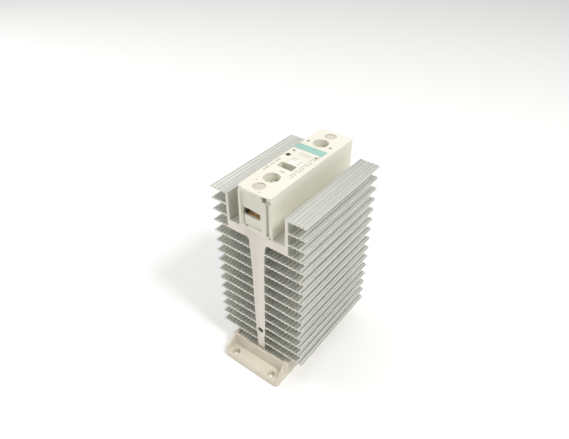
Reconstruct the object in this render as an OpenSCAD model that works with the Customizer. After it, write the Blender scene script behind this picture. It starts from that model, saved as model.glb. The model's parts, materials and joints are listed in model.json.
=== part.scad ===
// Solid state relay on a finned heat sink with a rail foot.
// X is across the relay, Y runs from the line end to the load end, Z is up.
// The origin is at the middle of the foot's underside.

/* [Heat sink] */
// Width over the fin tips
sink_w = 66; // [60:1:80]
// Length of the extrusion
sink_l = 76; // [70:1:100]
// Fins on each side
fin_count = 15; // [12:1:15]
// Distance between fins
fin_pitch = 7.87; // [7.4:0.01:8]
// Thickness of a fin
fin_t = 1.2; // [1:0.1:1.6]
// Height of the topmost fin's middle
fin_top_z = 128.76; // [128:0.02:130]
// Thickness of the channel walls
channel_wall = 1.9; // [1.6:0.1:2.2]
// Radius of the round port along the stem
port_r = 2.2; // [1.8:0.1:2.4]
// Height of the round port
port_z = 29; // [28:0.5:32]

/* [Foot] */
// Width of the foot
foot_w = 45; // [44:0.5:50]
// Length of the foot
foot_l = 102; // [102:1:110]
// Thickness of the end flanges
flange_t = 4.4; // [4:0.1:4.8]
// Height of the end walls
foot_h = 13.2; // [13:0.1:14]
// Radius of the fixing holes
fix_hole_r = 2.3; // [2:0.1:2.5]
// Fixing hole spacing across
fix_x = 30.6; // [29:0.1:32]
// Fixing hole spacing along
fix_y = 93.2; // [92:0.1:94]
// Width of the mounting rail
rail_w = 35; // [35]
// Travel of the rail latch
latch_travel = 5; // [3:0.5:5]

/* [Relay module] */
// Length of the housing
case_l = 80; // [80:0.5:82]
// Left face of the housing
case_left = -11.9; // [-12.2:0.1:-11.7]
// Right face of the housing
case_right = 11.2; // [11:0.1:11.6]
// Height of the housing's top
case_top = 138.2; // [138:0.1:139]
// Middle of the module along Y
mid_y = 1.7; // [1.5:0.1:1.8]
// Wall thickness of the housing
case_wall = 1.6; // [1.4:0.1:1.8]
// Radius of the terminal screw holes
screw_hole_r = 4.9; // [4.7:0.1:5]
// Terminal screw distance from the module's middle
screw_off = 23.9; // [23.5:0.1:24.2]
// Turns of a terminal screw
screw_turns = 4; // [2:1:4]
// Pitch of the terminal screw's thread
screw_pitch = 0.8; // [0.7:0.1:0.8]

/* [Hidden] */

eps = 0.01;

// Heat sink section
sink_top = fin_top_z + fin_t / 2;
channel_half = 19.8;
channel_floor = 110.5;
channel_fins = 3;
floor_under = fin_top_z - channel_fins * fin_pitch - fin_t / 2;
stem_bottom = 10;
stem_side = [[2.9, stem_bottom], [2.9, 24], [3.8, 34], [4.5, 80], [5.6, 97], [5.6, floor_under + 1]];
port_boss_r = 3.8;
base_half = 19.8;

// Foot section
tray_floor = stem_bottom;
tray_wall = 2.2;
tray_end_y = sink_l / 2 + 0.15;
wall_end_y = 40.4;
wall_foot_y = 41.3;
saddle_half = 9;
saddle_z = 12.3;
cheek_z = 12.3;
side_wall_z = 12;
cheek_t = 2.4;
countersink_r = 3;
countersink_h = 0.7;
rail_roof = 7.6;
rail_slot = 1.2;
rail_clear = 0.3;
rail_half = rail_w / 2 + rail_clear;
hook_reach = 2;
hook_bottom = 3.8;
latch_half = 7;
latch_gap = 0.25;
latch_rib = 1.4;
latch_rib_z = [1.4, 2.8];
latch_z = [0.6, 3.4];
lug_y = [24, 26];
spring_short = 7.5;
spring_pocket_y = lug_y[1] + spring_short + latch_travel;
spring_r = 1.3;
spring_wire_r = 0.25;
spring_x = 3.4;
spring_z = 5;
foot_screw_y = [-22.6, -34];
foot_screw_r = 1.6;

// Module heights, from the channel floor up
pad_t = 0.3;
plate_z = channel_floor + pad_t;
plate_t = 3;
dcb_z = plate_z + plate_t;
dcb_t = 1;
chip_z = dcb_z + dcb_t;
chip_t = 0.5;
bar_z = 124.6;
bar_t = 1;
board_z = 121.4;
board_t = 1.6;
skirt_z = channel_floor + 0.1;

// Module plan
case_near = mid_y - case_l / 2;
case_far = mid_y + case_l / 2;
axis_x = -1.2;
near_screw_y = mid_y - screw_off;
marker_off = 34.5;
plate_screw_off = 31;
plate_screw_r = 1.9;
plate_end_gap = 2.8;
marker_r = 3.7;
marker_depth = 1.2;
cap_z = 134.9;
cap_bulge = 1.1;
top_t = 2;
entry_x = [-9.8, 3.4];
entry_z = [119.4, 124.4];
panel_depth = 0.9;

// Terminal clamp
cage_w = 12;
cage_l = 10;
cage_wall = 1.4;
cage_floor = 119.3;
cage_floor_t = 1.4;
cage_head = bar_z + bar_t + 0.2;
cage_head_t = 2;
thread_r = 2.5;
thread_gap = 0.05;
head_r = 4.2;
clamp_travel = screw_turns * screw_pitch;
head_gap = 0.4;
head_z = cage_head + cage_head_t + clamp_travel + head_gap;
head_h = 2.6;

// Control socket
socket_x = [-7, 3.5];
socket_y = [-10.7, -5.3];
socket_wall = 1;
socket_bottom = 126;
plug_gap = 0.2;
plug_top = 135.4;
plug_step_x = -5.3;
plug_step = 1.6;
pin_x = [-4, 0.6];
pin_y = (socket_y[0] + socket_y[1]) / 2;
wire_port_r = 1;
contact_top = socket_bottom + 4.6;
port_floor = socket_bottom + 5.4;

lens_pos = [-9.2, 3.3];
lens_r = 1.6;
peg_hole_r = 1.1;
peg_mid = [-1.4, 16.3];
peg_spacing = [15.7, 14.6];
band_y = [12.2, 18.35];
band_right = 8.4;
tag_x = [-4.6, 5];
tag_y = [-4.7, 2.8];

function bowed(x0, x1, y, rise, n) =
    [for (i = [0:n]) let (t = i / n) [x0 + (x1 - x0) * t, y + rise * 4 * t * (1 - t)]];

// Box from two opposite corners
module span(a, b) {
    translate(a) cube(b - a);
}

// Polygon in YZ, extruded along X from x0 to x1
module yz_prism(points, x0, x1) {
    translate([x0, 0, 0]) rotate([90, 0, 90]) linear_extrude(x1 - x0) polygon(points);
}

module y_cylinder(r, y0, y1, x, z) {
    translate([x, y0, z]) rotate([-90, 0, 0]) cylinder(r = r, h = y1 - y0, $fn = 32);
}

module z_cylinder(r, z0, z1, x = 0, y = 0) {
    translate([x, y, z0]) cylinder(r = r, h = z1 - z0, $fn = 40);
}

// The load end is the line end turned over the module's middle
module at_load() {
    translate([0, 2 * mid_y, 0]) mirror([0, 1, 0]) children();
}

module both_ends() {
    children();
    at_load() children();
}

// ---- Heat sink ----

module stem_section() {
    right = stem_side;
    left = [for (i = [len(right) - 1:-1:0]) [-right[i][0], right[i][1]]];
    polygon(concat(right, left));
    translate([0, port_z]) circle(r = port_boss_r, $fn = 40);
}

module fin_section(i) {
    z = fin_top_z - i * fin_pitch;
    root = i < channel_fins ? channel_half : 0;
    for (side = [-1, 1])
        translate([side > 0 ? root : -sink_w / 2, z - fin_t / 2]) square([sink_w / 2 - root, fin_t]);
}

module channel_section() {
    outer = channel_half + channel_wall;
    difference() {
        translate([-outer, floor_under]) square([2 * outer, sink_top - floor_under]);
        translate([-channel_half, channel_floor])
            square([2 * channel_half, sink_top - channel_floor + 1]);
    }
}

// Last, narrow fin that lies in the foot's tray
module base_section() {
    translate([-base_half, stem_bottom]) square([2 * base_half, fin_t]);
}

module heat_sink() {
    color("gainsboro")
    difference() {
        translate([0, sink_l / 2, 0]) rotate([90, 0, 0]) linear_extrude(sink_l) {
            stem_section();
            channel_section();
            base_section();
            for (i = [0:fin_count - 1]) fin_section(i);
        }
        y_cylinder(port_r, -sink_l / 2 - 1, sink_l / 2 + 1, 0, port_z);
        for (side = [-1, 1])
            z_cylinder(plate_screw_r + 0.05, 101, channel_floor + 1, axis_x,
                mid_y + side * plate_screw_off);
        for (y = foot_screw_y)
            z_cylinder(foot_screw_r + 0.05, stem_bottom - 1, stem_bottom + 8.4, 0, y);
    }
}

// ---- Foot ----

// Half of the foot's long section, at the near end
module foot_end() {
    slope = [[-foot_l / 2, 0], [0, 0], [0, foot_h], [-wall_end_y, foot_h],
        [-wall_foot_y, flange_t], [-foot_l / 2, flange_t]];
    yz_prism(slope, -foot_w / 2, foot_w / 2);
    cheek = [[-foot_l / 2 + 0.8, 0], [-wall_end_y + 1, 0], [-wall_end_y + 1, cheek_z],
        [-wall_end_y, cheek_z], [-foot_l / 2 + 0.8, flange_t]];
    for (side = [-1, 1]) {
        x = side * (foot_w / 2 - cheek_t / 2);
        yz_prism(cheek, x - cheek_t / 2, x + cheek_t / 2);
    }
}

module foot_fixings() {
    for (sx = [-1, 1], sy = [-1, 1]) {
        x = sx * fix_x / 2;
        y = sy * fix_y / 2;
        z_cylinder(fix_hole_r, -1, flange_t + 1, x, y);
        translate([x, y, flange_t - countersink_h])
            cylinder(r1 = fix_hole_r, r2 = countersink_r, h = countersink_h, $fn = 40);
        z_cylinder(countersink_r, flange_t, flange_t + 8, x, y);
    }
}

module rail_channel() {
    x = foot_w / 2 + 1;
    lip_y = -rail_half + hook_reach;
    span([-x, -rail_half, rail_roof - rail_slot], [x, rail_half, rail_roof]);
    span([-x, lip_y, -1], [x, rail_half, rail_roof]);
    span([-x, -rail_half, -1], [x, rail_half, hook_bottom]);
}

// Space for the latch in the load end of the foot
module latch_way() {
    half = latch_half + latch_gap;
    span([-half, 0, -1], [half, foot_l / 2 + 1, latch_z[1] + latch_gap]);
    span([-half, 0, 0], [half, spring_pocket_y, rail_roof - 0.8]);
    rib_half = half + latch_rib;
    span([-rib_half, 0, latch_rib_z[0] - 0.2], [rib_half, foot_l / 2 + 1, latch_rib_z[1] + 0.2]);
    span([-half, spring_pocket_y + 1, 0], [half, foot_l / 2 + 1, foot_h + 1]);
}

module mounting_foot() {
    tray_half = foot_w / 2 - tray_wall;
    color("wheat")
    difference() {
        union() {
            foot_end();
            mirror([0, 1, 0]) foot_end();
        }
        span([-tray_half, -tray_end_y, tray_floor], [tray_half, tray_end_y, foot_h + 1]);
        span([-saddle_half, -wall_foot_y, saddle_z], [saddle_half, wall_foot_y, foot_h + 1]);
        for (side = [-1, 1])
            span([side > 0 ? tray_half - 1 : -foot_w / 2 - 1, -tray_end_y, side_wall_z],
                [side > 0 ? foot_w / 2 + 1 : -tray_half + 1, tray_end_y, foot_h + 1]);
        rail_channel();
        latch_way();
        foot_fixings();
        for (y = foot_screw_y) {
            z_cylinder(2.1, -1, tray_floor + 1, 0, y);
            z_cylinder(4, -1, 5.2, 0, y);
        }
    }
}

module rail_latch() {
    lip_y = rail_half - hook_reach;
    end_y = foot_l / 2 - 0.6;
    hook = [[lip_y, 5], [lip_y + 3.6, latch_z[0]], [end_y, latch_z[0]], [end_y, latch_z[1]],
        [lug_y[1], latch_z[1]], [lug_y[1], 6.2], [lug_y[0], 6.2], [lug_y[0], 4.4],
        [rail_half + 0.6, 4.4], [rail_half - 0.1, 6.2], [lip_y, 6.2]];
    color("dimgray")
    difference() {
        union() {
            yz_prism(hook, -latch_half, latch_half);
            span([-latch_half - latch_rib, lip_y + 4, latch_rib_z[0]],
                [latch_half + latch_rib, end_y - 4, latch_rib_z[1]]);
        }
        span([-3, end_y - 5, -1], [3, end_y - 3.2, latch_z[1] + 1]);
    }
}

module latch_spring() {
    length = spring_pocket_y - lug_y[1] - 0.4;
    turns = 9;
    color("silver")
    for (side = [-1, 1])
        for (i = [0:turns])
            translate([side * spring_x, lug_y[1] + 0.2 + spring_wire_r
                + (length - 2 * spring_wire_r) * i / turns, spring_z])
                rotate([90, 0, 0])
                    rotate_extrude($fn = 24) translate([spring_r - spring_wire_r, 0])
                        circle(r = spring_wire_r, $fn = 16);
}

module foot_screws() {
    color("silver")
    for (y = foot_screw_y)
        difference() {
            union() {
                z_cylinder(foot_screw_r, 5, stem_bottom + 8, 0, y);
                z_cylinder(3.5, 2.8, 5.2, 0, y);
            }
            for (a = [0, 90])
                translate([0, y, 2.8]) rotate([0, 0, a]) cube([4, 0.9, 3], center = true);
        }
}

// ---- Module floor and power stage ----

module thermal_pad() {
    color("lightgray")
    difference() {
        span([-10, case_near + plate_end_gap, channel_floor], [9, sink_l / 2 - 0.5, plate_z]);
        for (side = [-1, 1])
            z_cylinder(2.4, 100, 120, axis_x, mid_y + side * plate_screw_off);
    }
}

module base_plate() {
    color("darkgray")
    difference() {
        span([-10, case_near + plate_end_gap, plate_z], [9, case_far - plate_end_gap, dcb_z]);
        for (side = [-1, 1]) {
            y = mid_y + side * plate_screw_off;
            z_cylinder(2.05, 100, 120, axis_x, y);
            translate([axis_x, y, dcb_z - 2.2]) cylinder(r1 = 2.05, r2 = 4.25, h = 2.21, $fn = 40);
        }
    }
}

module base_screws() {
    color("silver")
    for (side = [-1, 1])
        translate([axis_x, mid_y + side * plate_screw_off, 0])
            difference() {
                union() {
                    z_cylinder(plate_screw_r, 101.5, dcb_z - 1);
                    translate([0, 0, dcb_z - 2.3])
                        cylinder(r1 = plate_screw_r, r2 = 4.1, h = 2.2, $fn = 40);
                }
                for (a = [0, 90])
                    translate([0, 0, dcb_z]) rotate([0, 0, a]) cube([4.4, 0.9, 2], center = true);
            }
}

module substrate() {
    color("white")
    span([-9.2, mid_y - 14, dcb_z], [6.8, mid_y + 14, chip_z]);
}

module thyristor_chips() {
    color("dimgray")
    for (side = [-1, 1])
        span([axis_x - 3.6, mid_y + side * 4.6 - 3.6, chip_z],
            [axis_x + 3.6, mid_y + side * 4.6 + 3.6, chip_z + chip_t]);
}

module chip_bridge() {
    z = chip_z + chip_t;
    color("peru")
    span([axis_x - 2.4, mid_y - 7.6, z], [axis_x + 2.4, mid_y + 7.6, z + 0.6]);
}

module bar() {
    inner = mid_y - 10;
    outer = near_screw_y - 8;
    rise = mid_y - 13.4;
    path = [[outer, bar_z], [rise, bar_z], [rise, chip_z], [inner, chip_z], [inner, chip_z + bar_t],
        [rise + bar_t, chip_z + bar_t], [rise + bar_t, bar_z + bar_t], [outer, bar_z + bar_t]];
    yz_prism(path, axis_x - 4, axis_x + 4);
}

module line_busbar() {
    color("peru") bar();
}

module load_busbar() {
    color("peru") at_load() bar();
}

// ---- Terminals ----

module cage() {
    half = cage_w / 2;
    y = near_screw_y;
    window = half - cage_wall;
    difference() {
        span([axis_x - half, y - cage_l / 2, cage_floor - cage_floor_t],
            [axis_x + half, y + cage_l / 2, cage_head + cage_head_t]);
        span([axis_x - window, y - cage_l, cage_floor], [axis_x + window, y + cage_l, cage_head]);
        z_cylinder(thread_r, cage_head - 1, cage_head + cage_head_t + 1, axis_x, y);
    }
}

module line_clamp() {
    color("goldenrod") cage();
}

module load_clamp() {
    color("goldenrod") at_load() cage();
}

module terminal_screw() {
    color("silver")
    translate([axis_x, near_screw_y, 0])
        difference() {
            union() {
                z_cylinder(thread_r - thread_gap, bar_z + bar_t + 0.1, head_z + 1);
                z_cylinder(head_r, head_z, head_z + head_h);
            }
            for (a = [45, 135])
                translate([0, 0, head_z + head_h]) rotate([0, 0, a])
                    cube([6.2, 1.1, 3], center = true);
        }
}

module line_screw() {
    terminal_screw();
}

module load_screw() {
    at_load() terminal_screw();
}

// ---- Housing ----

module case_outside() {
    span([case_left, case_near, skirt_z], [case_right, case_far, cap_z]);
    near_edge = bowed(case_left + 0.6, case_right, case_near, -cap_bulge, 12);
    far_edge = bowed(case_right, case_left + 0.6, case_far, cap_bulge, 12);
    plan = concat(near_edge, far_edge,
        [[case_left, case_far - 1.8], [case_left, case_near + 1.8]]);
    translate([0, 0, cap_z]) linear_extrude(case_top - cap_z) polygon(plan);
}

// Ribs that keep a clamp cage from turning
module cage_guides() {
    half = cage_w / 2 + 0.35;
    for (side = [-1, 1])
        translate([axis_x + side * (half + 0.5) - 0.5, near_screw_y - 5.5, 117])
            cube([1, 11, case_top - top_t - 117 + eps]);
}

module screw_collar() {
    z_cylinder(screw_hole_r + 1, head_z + 0.6, case_top - 1, axis_x, near_screw_y);
}

module end_cuts() {
    // wire entry, shallow panel round it and the flexing tab's slit
    span([entry_x[0], case_near - 3, entry_z[0]], [entry_x[1], case_near + 4, entry_z[1]]);
    span([entry_x[0] - 0.4, case_near - 3, 112.6],
        [entry_x[1] + 0.1, case_near + panel_depth, cap_z]);
    span([entry_x[0] + 0.6, case_near - 3, 113], [entry_x[0] + 1.2, case_near + 4, entry_z[0] + 1]);
    // groove and stepped pocket by the right corner
    span([7.2, case_near - 3, 112.7], [9.3, case_near + 1.3, 133.2]);
    span([4.9, case_near - 3, 133.4], [7.2, case_near + 3, 137.4]);
    span([4.9, case_near - 3, 133.4], [10.7, case_near + 1, 137.4]);
    span([9.2, case_near - 3, 108], [10.6, case_near + 1.6, 112.4]);
    // terminal screw hole and marker recess
    z_cylinder(screw_hole_r, head_z - 1, case_top + 1, axis_x, near_screw_y);
    z_cylinder(marker_r, case_top - marker_depth, case_top + 1, axis_x, mid_y - marker_off);
}

module socket_box(grow) {
    span([socket_x[0] - grow, socket_y[0] - grow, socket_bottom],
        [socket_x[1] + grow, socket_y[1] + grow, case_top - 1]);
}

module peg_holes() {
    for (sx = [-1, 1], sy = [-1, 1])
        z_cylinder(peg_hole_r, case_top - top_t - 0.6, case_top + 1,
            peg_mid[0] + sx * peg_spacing[0] / 2, peg_mid[1] + sy * peg_spacing[1] / 2);
}

module relay_housing() {
    color("ivory")
    difference() {
        union() {
            difference() {
                case_outside();
                span([case_left + case_wall, case_near + case_wall + panel_depth, skirt_z - 1],
                    [case_right - case_wall, case_far - case_wall - panel_depth,
                    case_top - top_t]);
            }
            both_ends() cage_guides();
            both_ends() screw_collar();
            socket_box(socket_wall);
        }
        both_ends() end_cuts();
        span([socket_x[0], socket_y[0], socket_bottom - 1], [socket_x[1], socket_y[1], case_top + 1]);
        span([-2.2, -14.9, case_top - 0.9], [1.9, -13.6, case_top + 1]);
        peg_holes();
        z_cylinder(lens_r + 0.05, board_z, case_top + 1, lens_pos[0], lens_pos[1]);
        span([case_left - 1, band_y[0], case_top - 0.4], [band_right, band_y[1], case_top + 1]);
        span([tag_x[0], tag_y[0], case_top - 0.6], [tag_x[1], tag_y[1], case_top + 1]);
    }
}

module marker_plugs() {
    color("silver")
    both_ends()
        z_cylinder(marker_r - 0.15, case_top - marker_depth, case_top - 0.5, axis_x,
            mid_y - marker_off);
}

module colour_band() {
    color("mediumaquamarine")
    span([case_left, band_y[0] + 0.05, case_top - 0.4],
        [band_right - 0.05, band_y[1] - 0.05, case_top]);
}

module label_tag() {
    color("white")
    span([tag_x[0] + 0.05, tag_y[0] + 0.05, case_top - 0.6],
        [tag_x[1] - 0.05, tag_y[1] - 0.05, case_top]);
}

module light_guide() {
    color("black")
    z_cylinder(lens_r, board_z + board_t + 1.6, case_top - 0.4, lens_pos[0], lens_pos[1]);
}

// ---- Control circuit ----

module circuit_board() {
    color("seagreen")
    span([-10, mid_y - 12.2, board_z], [9, mid_y + 12.2, board_z + board_t]);
}

module status_led() {
    z = board_z + board_t;
    color("gold")
    span([lens_pos[0] - 0.75, lens_pos[1] - 1.2, z], [lens_pos[0] + 0.75, lens_pos[1] + 1.2, z + 1.2]);
}

module optocoupler() {
    z = board_z + board_t;
    color("black")
    union() {
        span([-6.4, 4, z + 0.5], [0, 10.6, z + 3.8]);
        for (x = [-6.8, 0], y = [5, 7.4, 9.4])
            span([x, y - 0.3, z], [x + 0.4, y + 0.3, z + 2.2]);
    }
}

module varistor() {
    color("royalblue")
    translate([6, 6.4, board_z + board_t + 4.6]) rotate([0, 90, 0]) cylinder(r = 4.4, h = 2.6, $fn = 40);
}

module snubber_capacitor() {
    z = board_z - 0.1;
    color("gold")
    span([-8.4, 0.6, z - 4], [4.6, 5.6, z]);
}

module resistors() {
    z = board_z + board_t;
    color("tan")
    for (i = [0:2])
        y_cylinder(0.9, -0.4, 3.2, 5.2 - i * 2.6, z + 1);
}

module pin_header() {
    z = board_z + board_t;
    color("gold")
    for (x = pin_x)
        span([x - 0.35, pin_y - 0.35, z], [x + 0.35, pin_y + 0.35, contact_top - 0.4]);
}

module control_plug() {
    g = plug_gap;
    high = [socket_x[0] + g, socket_x[1] - g];
    deep = [socket_y[0] + g, socket_y[1] - g];
    color("darkseagreen")
    difference() {
        span([high[0], deep[0], socket_bottom + 0.4], [high[1], deep[1], plug_top]);
        span([plug_step_x, deep[0] - 1, plug_top - plug_step], [high[1] + 1, deep[1] + 1, plug_top + 1]);
        for (x = pin_x) {
            span([x - 0.8, pin_y - 0.8, socket_bottom], [x + 0.8, pin_y + 0.8, port_floor]);
            z_cylinder(wire_port_r, port_floor - eps, plug_top + 1, x, pin_y);
        }
    }
}

module plug_contacts() {
    color("goldenrod")
    for (x = pin_x)
        difference() {
            span([x - 0.8, pin_y - 0.8, contact_top - 2.8], [x + 0.8, pin_y + 0.8, contact_top]);
            span([x - 0.45, pin_y - 0.45, socket_bottom], [x + 0.45, pin_y + 0.45, socket_bottom + 6]);
        }
}

heat_sink();
mounting_foot();
rail_latch();
latch_spring();
foot_screws();
thermal_pad();
base_plate();
base_screws();
substrate();
thyristor_chips();
chip_bridge();
line_busbar();
load_busbar();
line_clamp();
load_clamp();
line_screw();
load_screw();
relay_housing();
marker_plugs();
colour_band();
label_tag();
light_guide();
status_led();
circuit_board();
optocoupler();
varistor();
snubber_capacitor();
resistors();
pin_header();
control_plug();
plug_contacts();
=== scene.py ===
import json
import math

import bmesh
import bpy
from mathutils import Matrix, Vector


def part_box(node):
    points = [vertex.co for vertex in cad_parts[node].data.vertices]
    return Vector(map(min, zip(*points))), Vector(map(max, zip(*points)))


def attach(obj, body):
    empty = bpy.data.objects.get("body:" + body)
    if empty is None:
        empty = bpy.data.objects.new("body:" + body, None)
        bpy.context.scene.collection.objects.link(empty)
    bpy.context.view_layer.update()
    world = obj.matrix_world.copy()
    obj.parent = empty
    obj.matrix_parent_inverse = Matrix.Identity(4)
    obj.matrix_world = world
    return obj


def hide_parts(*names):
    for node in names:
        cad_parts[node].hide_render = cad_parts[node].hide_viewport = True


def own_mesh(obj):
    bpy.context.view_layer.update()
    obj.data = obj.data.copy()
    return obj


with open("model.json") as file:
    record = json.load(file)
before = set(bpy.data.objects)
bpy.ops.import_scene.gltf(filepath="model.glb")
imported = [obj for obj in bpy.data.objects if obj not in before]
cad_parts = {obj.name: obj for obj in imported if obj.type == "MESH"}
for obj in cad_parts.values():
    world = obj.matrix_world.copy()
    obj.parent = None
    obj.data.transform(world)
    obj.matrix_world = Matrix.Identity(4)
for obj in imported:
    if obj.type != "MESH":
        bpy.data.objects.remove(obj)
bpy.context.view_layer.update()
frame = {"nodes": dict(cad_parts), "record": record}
mm = 0.001


def cornersOf(node):
    # a CAD node's box, in millimetres
    low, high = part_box(node)
    return low / mm, high / mm


caseLow, caseHigh = cornersOf("relay_housing")
sinkLow, sinkHigh = cornersOf("heat_sink")
footLow, footHigh = cornersOf("mounting_foot")
midY = (caseLow.y + caseHigh.y) / 2

print("frame loaded:", len(frame["nodes"]), "nodes")


# ---- camera, floor and light ----

cameraSpec = {"place": (140.8, -197.6, 282.1), "turn": 37.23, "tilt": 37.4, "lens": 31.23}


def makeCamera(spec):
    data = bpy.data.cameras.new("camera")
    data.lens = spec["lens"]
    data.sensor_width = 36
    data.clip_start = 0.01
    camera = bpy.data.objects.new("camera", data)
    camera.location = Vector(spec["place"]) * mm
    camera.rotation_euler = (math.radians(90 - spec["tilt"]), 0, math.radians(spec["turn"]))
    bpy.context.scene.collection.objects.link(camera)
    bpy.context.scene.camera = camera


studioSpec = {
    "world": (1.0, 1.0, 0.99),
    "worldPower": 0.345,
    "floorSize": 6.0,
    "floorColor": (0.94, 0.94, 0.93),
    "floorGlow": 0.11,
    "lamps": [
        {"name": "key", "place": (0.8, -0.05, 1.15), "aim": (0, 0, 0.08), "size": 0.3, "power": 9},
        {"name": "overhead", "place": (-0.15, 0.1, 1.3), "aim": (0, 0, 0.08), "size": 1.0, "power": 5.3},
        {"name": "side", "place": (-1.0, -0.3, 0.6), "aim": (0, 0, 0.08), "size": 0.6, "power": 4.2},
    ],
}


def makeStudio(spec):
    scene = bpy.context.scene
    scene.view_settings.view_transform = "Standard"
    world = bpy.data.worlds.new("studio")
    world.use_nodes = True
    background = world.node_tree.nodes["Background"]
    background.inputs["Color"].default_value = (*spec["world"], 1)
    background.inputs["Strength"].default_value = spec["worldPower"]
    scene.world = world
    half = spec["floorSize"] / 2
    mesh = bpy.data.meshes.new("floor")
    mesh.from_pydata([(-half, -half, 0), (half, -half, 0), (half, half, 0), (-half, half, 0)], [],
                     [(0, 1, 2, 3)])
    floor = bpy.data.objects.new("floor", mesh)
    scene.collection.objects.link(floor)
    material = bpy.data.materials.new("floor")
    material.use_nodes = True
    shader = material.node_tree.nodes["Principled BSDF"]
    shader.inputs["Base Color"].default_value = (*spec["floorColor"], 1)
    shader.inputs["Roughness"].default_value = 0.7
    shader.inputs["Emission Color"].default_value = (1, 1, 1, 1)
    shader.inputs["Emission Strength"].default_value = spec["floorGlow"]
    mesh.materials.append(material)
    for lamp in spec["lamps"]:
        data = bpy.data.lights.new(lamp["name"], "AREA")
        data.energy = lamp["power"]
        data.size = lamp["size"]
        light = bpy.data.objects.new(lamp["name"], data)
        light.location = lamp["place"]
        aim = Vector(lamp["aim"]) - Vector(lamp["place"])
        light.rotation_euler = aim.to_track_quat("-Z", "Y").to_euler()
        scene.collection.objects.link(light)


makeCamera(cameraSpec)
makeStudio(studioSpec)
print("camera and studio ready")


# ---- node helpers and shader groups ----

def addNode(tree, kind, links=None, **settings):
    node = tree.nodes.new(kind)
    for key, value in settings.items():
        setattr(node, key, value)
    for label, value in (links or {}).items():
        socket = node.inputs[label]
        if isinstance(value, bpy.types.NodeSocket):
            tree.links.new(value, socket)
        else:
            socket.default_value = value
    return node


def newGroup(name, inputs, outputs):
    tree = bpy.data.node_groups.new(name, "ShaderNodeTree")
    for label, kind, value in inputs:
        socket = tree.interface.new_socket(name=label, in_out="INPUT", socket_type=kind)
        socket.default_value = value
    for label, kind in outputs:
        tree.interface.new_socket(name=label, in_out="OUTPUT", socket_type=kind)
    return tree, tree.nodes.new("NodeGroupInput"), tree.nodes.new("NodeGroupOutput")


def figure(tree, operation, *values):
    # a float result, from sockets or numbers
    node = tree.nodes.new("ShaderNodeMath")
    node.operation = operation
    for socket, value in zip(node.inputs, values):
        if isinstance(value, bpy.types.NodeSocket):
            tree.links.new(value, socket)
        else:
            socket.default_value = value
    return node.outputs[0]


def grainGroup():
    # moulded or cast grain: a fine height with a slow change of tone under it
    tree, given, put = newGroup(
        "surface grain",
        [("Fine Scale", "NodeSocketFloat", 1800.0), ("Slow Scale", "NodeSocketFloat", 30.0),
         ("Detail", "NodeSocketFloat", 3.0)],
        [("Height", "NodeSocketFloat"), ("Tone", "NodeSocketFloat")])
    where = addNode(tree, "ShaderNodeTexCoord").outputs["Object"]
    for label, size in (("Height", "Fine Scale"), ("Tone", "Slow Scale")):
        noise = addNode(tree, "ShaderNodeTexNoise", {
            "Vector": where, "Scale": given.outputs[size], "Detail": given.outputs["Detail"]})
        tree.links.new(noise.outputs["Fac"], put.inputs[label])
    return tree


def linesGroup():
    # long marks of a die, a saw or a brush, stretched along one axis
    tree, given, put = newGroup(
        "drawn lines",
        [("Stretch", "NodeSocketVector", (900.0, 5.0, 900.0)), ("Detail", "NodeSocketFloat", 2.0)],
        [("Height", "NodeSocketFloat"), ("Wide", "NodeSocketFloat")])
    where = addNode(tree, "ShaderNodeTexCoord").outputs["Object"]
    for label, factor in (("Height", 1.0), ("Wide", 0.22)):
        size = addNode(tree, "ShaderNodeVectorMath", {0: given.outputs["Stretch"], "Scale": factor},
                       operation="SCALE")
        place = addNode(tree, "ShaderNodeVectorMath", {0: where, 1: size.outputs[0]},
                        operation="MULTIPLY")
        noise = addNode(tree, "ShaderNodeTexNoise", {
            "Vector": place.outputs[0], "Scale": 1.0, "Detail": given.outputs["Detail"]})
        tree.links.new(noise.outputs["Fac"], put.inputs[label])
    return tree


def specksGroup():
    # sparse dust and small nicks
    tree, given, put = newGroup(
        "dust and nicks",
        [("Scale", "NodeSocketFloat", 220.0), ("Amount", "NodeSocketFloat", 0.12)],
        [("Mask", "NodeSocketFloat")])
    where = addNode(tree, "ShaderNodeTexCoord").outputs["Object"]
    cells = addNode(tree, "ShaderNodeTexVoronoi", {"Vector": where, "Scale": given.outputs["Scale"]})
    patch = addNode(tree, "ShaderNodeTexNoise", {"Vector": where, "Scale": 70.0})
    near = figure(tree, "LESS_THAN", cells.outputs["Distance"], given.outputs["Amount"])
    some = figure(tree, "GREATER_THAN", patch.outputs["Fac"], 0.56)
    tree.links.new(figure(tree, "MULTIPLY", near, some), put.inputs["Mask"])
    return tree


grain = grainGroup()
lines = linesGroup()
specks = specksGroup()


# ---- materials ----

def newMaterial(name, roughness, metallic=0.0):
    material = bpy.data.materials.new(name)
    material.use_nodes = True
    shader = material.node_tree.nodes["Principled BSDF"]
    shader.inputs["Roughness"].default_value = roughness
    shader.inputs["Metallic"].default_value = metallic
    return material, material.node_tree, shader


def placeGroup(tree, group, values):
    node = tree.nodes.new("ShaderNodeGroup")
    node.node_tree = group
    for label, value in values.items():
        node.inputs[label].default_value = value
    return node


def blendColors(tree, factor, low, high):
    ramp = tree.nodes.new("ShaderNodeValToRGB")
    ramp.color_ramp.elements[0].color = (*low, 1)
    ramp.color_ramp.elements[1].color = (*high, 1)
    ramp.color_ramp.elements[0].position = 0.35
    ramp.color_ramp.elements[1].position = 0.65
    tree.links.new(factor, ramp.inputs["Fac"])
    return ramp.outputs["Color"]


def spread(tree, value, low, high):
    node = addNode(tree, "ShaderNodeMapRange", {
        "Value": value, "From Min": 0.3, "From Max": 0.7, "To Min": low, "To Max": high})
    return node.outputs["Result"]


def addBump(tree, shader, height, strength, distance):
    bump = addNode(tree, "ShaderNodeBump", {"Strength": strength, "Distance": distance,
                                            "Height": height})
    tree.links.new(bump.outputs["Normal"], shader.inputs["Normal"])


def shade(color, factor):
    return tuple(min(1.0, c * factor) for c in color)


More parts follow.
